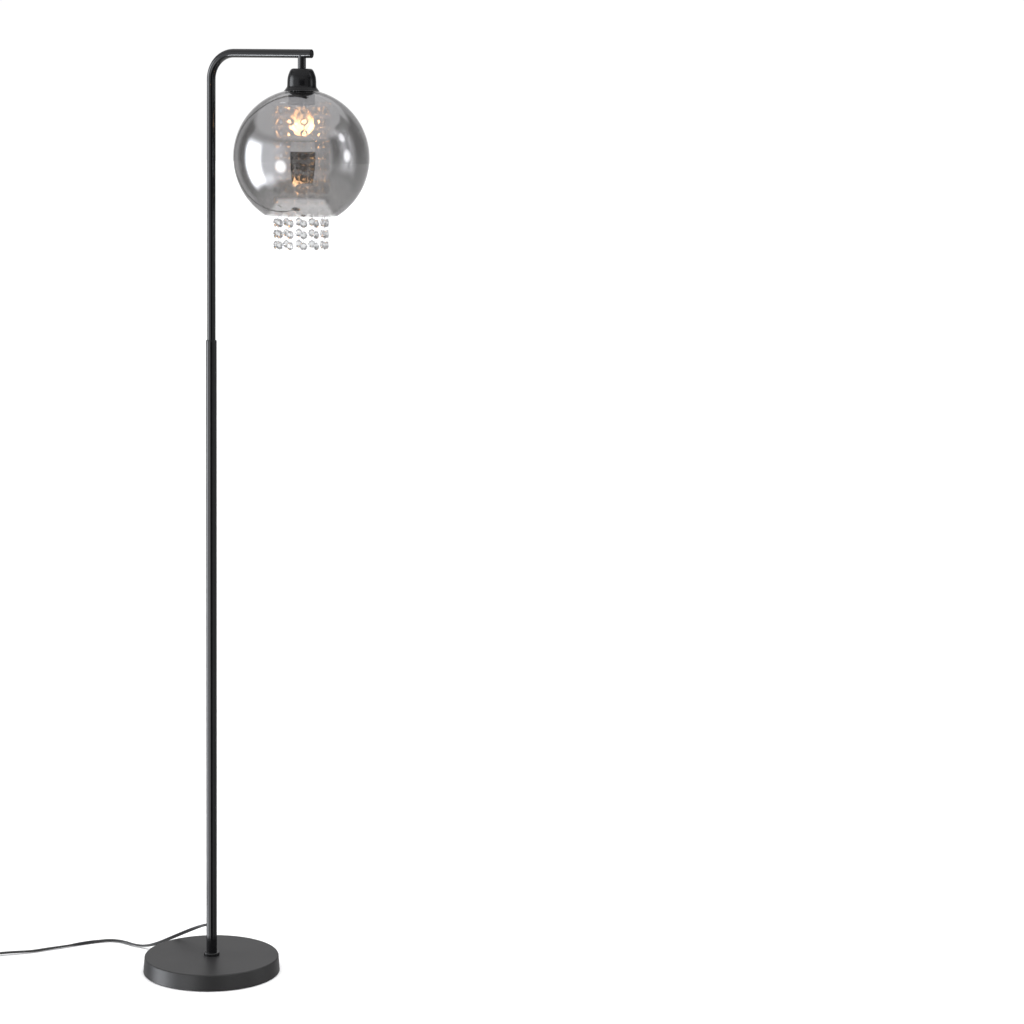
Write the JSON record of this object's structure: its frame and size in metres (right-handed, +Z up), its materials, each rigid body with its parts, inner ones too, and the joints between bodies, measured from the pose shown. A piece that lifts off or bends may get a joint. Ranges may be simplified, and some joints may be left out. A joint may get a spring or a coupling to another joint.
{
  "type": "floor lamp",
  "caption": "Floor lamp: round weighted foot, two-size pole bent into a short arm, bell cup, smoked glass globe with hanging cut-glass strands and a screw bulb.",
  "frame": {"origin": "middle of the foam rest face on the floor, on the pole axis", "axes": "+Z up along the pole, +X along the arm towards the globe"},
  "size_m": [0.8454, 0.3333, 1.65],
  "materials": {
    "tube_paint": "satin-gloss black enamel",
    "cup_paint": "satin black",
    "base_powder": "fine matte black powder coat",
    "collar_gloss": "gloss black",
    "iron": "raw casting",
    "foam": "closed-cell foam",
    "zinc_steel": "zinc plated",
    "chrome_trim": "polished",
    "holder_plastic": "moulded",
    "holder_brass": "rolled",
    "smoke_glass": "smoke grey with a semi-mirror coat",
    "crystal": "clear cut glass",
    "bulb_clear": "clear",
    "cap_aluminium": "rolled",
    "filament": "incandescent",
    "lead_pvc": "smooth PVC",
    "switch_plastic": "moulded",
    "plug_plastic": "moulded",
    "tie_band": "hook-and-loop band"
  },
  "bodies": {
    "lamp": {"base_cover": "base_powder", "base_weight": "iron", "base_pad": "foam", "base_screw": "zinc_steel", "base_nut": "zinc_steel", "base_washer": "zinc_steel", "stem_nipple": "zinc_steel", "stem_nut": "zinc_steel", "foot_collar": "collar_gloss", "lower_tube": "tube_paint", "joint_ferrule": "tube_paint", "upper_tube": "tube_paint", "arm_end_cap": "tube_paint", "stem_tube": "tube_paint", "cup": "cup_paint", "socket_body": "holder_plastic", "shade_ring": "holder_plastic", "disc_ring": "holder_plastic", "socket_shell": "holder_brass", "socket_contact": "holder_brass", "glass_globe": "smoke_glass", "crystal_disc": "chrome_trim", "plug_pins": "chrome_trim", "cord_relief": "lead_pvc", "inner_cable": "lead_pvc", "power_cord": "lead_pvc", "cord_coil": "lead_pvc", "switch_base": "switch_plastic", "switch_cover": "switch_plastic", "plug_body": "plug_plastic", "cord_tie": "tie_band"},
    "bulb_tip_contact": {"bulb_tip": "holder_brass"},
    "bulb": {"bulb_glass": "bulb_clear", "bulb_cap": "cap_aluminium", "bulb_filament": "filament"},
    "foot_button": {"switch_button": "switch_plastic"},
    "strand_01": {"strand_01_beads": "crystal", "strand_01_rings": "chrome_trim"},
    "strand_02": {"strand_02_beads": "crystal", "strand_02_rings": "chrome_trim"},
    "strand_03": {"strand_03_beads": "crystal", "strand_03_rings": "chrome_trim"},
    "strand_04": {"strand_04_beads": "crystal", "strand_04_rings": "chrome_trim"},
    "strand_05": {"strand_05_beads": "crystal", "strand_05_rings": "chrome_trim"},
    "strand_06": {"strand_06_beads": "crystal", "strand_06_rings": "chrome_trim"},
    "strand_07": {"strand_07_beads": "crystal", "strand_07_rings": "chrome_trim"},
    "strand_08": {"strand_08_beads": "crystal", "strand_08_rings": "chrome_trim"},
    "strand_09": {"strand_09_beads": "crystal", "strand_09_rings": "chrome_trim"},
    "strand_10": {"strand_10_beads": "crystal", "strand_10_rings": "chrome_trim"},
    "strand_11": {"strand_11_beads": "crystal", "strand_11_rings": "chrome_trim"},
    "strand_12": {"strand_12_beads": "crystal", "strand_12_rings": "chrome_trim"}
  },
  "joints": [
    {"name": "bulb_lower", "type": "slide", "parent": "lamp", "child": "bulb_tip_contact", "axis": [0, 0, 1], "range_m": [-0.0182, 0]},
    {"name": "bulb_turn", "type": "hinge", "parent": "bulb_tip_contact", "child": "bulb", "pos_m": [0.178, 0, 1.5255], "axis": [0, 0, 1], "range_deg": [-1800, 0]},
    {"name": "foot_button_press", "type": "slide", "parent": "lamp", "child": "foot_button", "axis": [0, 0, -1], "range_m": [0, 0.0025], "stiffness_N_per_m": 1500, "springref_m": -0.002},
    {"name": "strand_01_swing", "type": "hinge", "parent": "lamp", "child": "strand_01", "pos_m": [0.22239, 0.0031, 1.56063], "axis": [-0.0698, 0.9976, 0], "range_deg": [-1.5, 3]},
    {"name": "strand_02_swing", "type": "hinge", "parent": "lamp", "child": "strand_02", "pos_m": [0.21489, 0.02488, 1.56063], "axis": [-0.5592, 0.829, 0], "range_deg": [-1.5, 3]},
    {"name": "strand_03_swing", "type": "hinge", "parent": "lamp", "child": "strand_03", "pos_m": [0.19751, 0.04, 1.56063], "axis": [-0.8988, 0.4384, 0], "range_deg": [-1.5, 3]},
    {"name": "strand_04_swing", "type": "hinge", "parent": "lamp", "child": "strand_04", "pos_m": [0.1749, 0.04439, 1.56063], "axis": [-0.9976, -0.0698, 0], "range_deg": [-1.5, 3]},
    {"name": "strand_05_swing", "type": "hinge", "parent": "lamp", "child": "strand_05", "pos_m": [0.15312, 0.03689, 1.56063], "axis": [-0.829, -0.5592, 0], "range_deg": [-1.5, 3]},
    {"name": "strand_06_swing", "type": "hinge", "parent": "lamp", "child": "strand_06", "pos_m": [0.138, 0.01951, 1.56063], "axis": [-0.4384, -0.8988, 0], "range_deg": [-1.5, 3]},
    {"name": "strand_07_swing", "type": "hinge", "parent": "lamp", "child": "strand_07", "pos_m": [0.13361, -0.0031, 1.56063], "axis": [0.0698, -0.9976, 0], "range_deg": [-1.5, 3]},
    {"name": "strand_08_swing", "type": "hinge", "parent": "lamp", "child": "strand_08", "pos_m": [0.14111, -0.02488, 1.56063], "axis": [0.5592, -0.829, 0], "range_deg": [-1.5, 3]},
    {"name": "strand_09_swing", "type": "hinge", "parent": "lamp", "child": "strand_09", "pos_m": [0.15849, -0.04, 1.56063], "axis": [0.8988, -0.4384, 0], "range_deg": [-1.5, 3]},
    {"name": "strand_10_swing", "type": "hinge", "parent": "lamp", "child": "strand_10", "pos_m": [0.1811, -0.04439, 1.56063], "axis": [0.9976, 0.0698, 0], "range_deg": [-1.5, 3]},
    {"name": "strand_11_swing", "type": "hinge", "parent": "lamp", "child": "strand_11", "pos_m": [0.20288, -0.03689, 1.56063], "axis": [0.829, 0.5592, 0], "range_deg": [-1.5, 3]},
    {"name": "strand_12_swing", "type": "hinge", "parent": "lamp", "child": "strand_12", "pos_m": [0.218, -0.01951, 1.56063], "axis": [0.4384, 0.8988, 0], "range_deg": [-1.5, 3]}
  ],
  "couplings": [
    {"joint": "bulb_lower", "follows": "bulb_turn", "m_per_rad": 0.0005776}
  ]
}
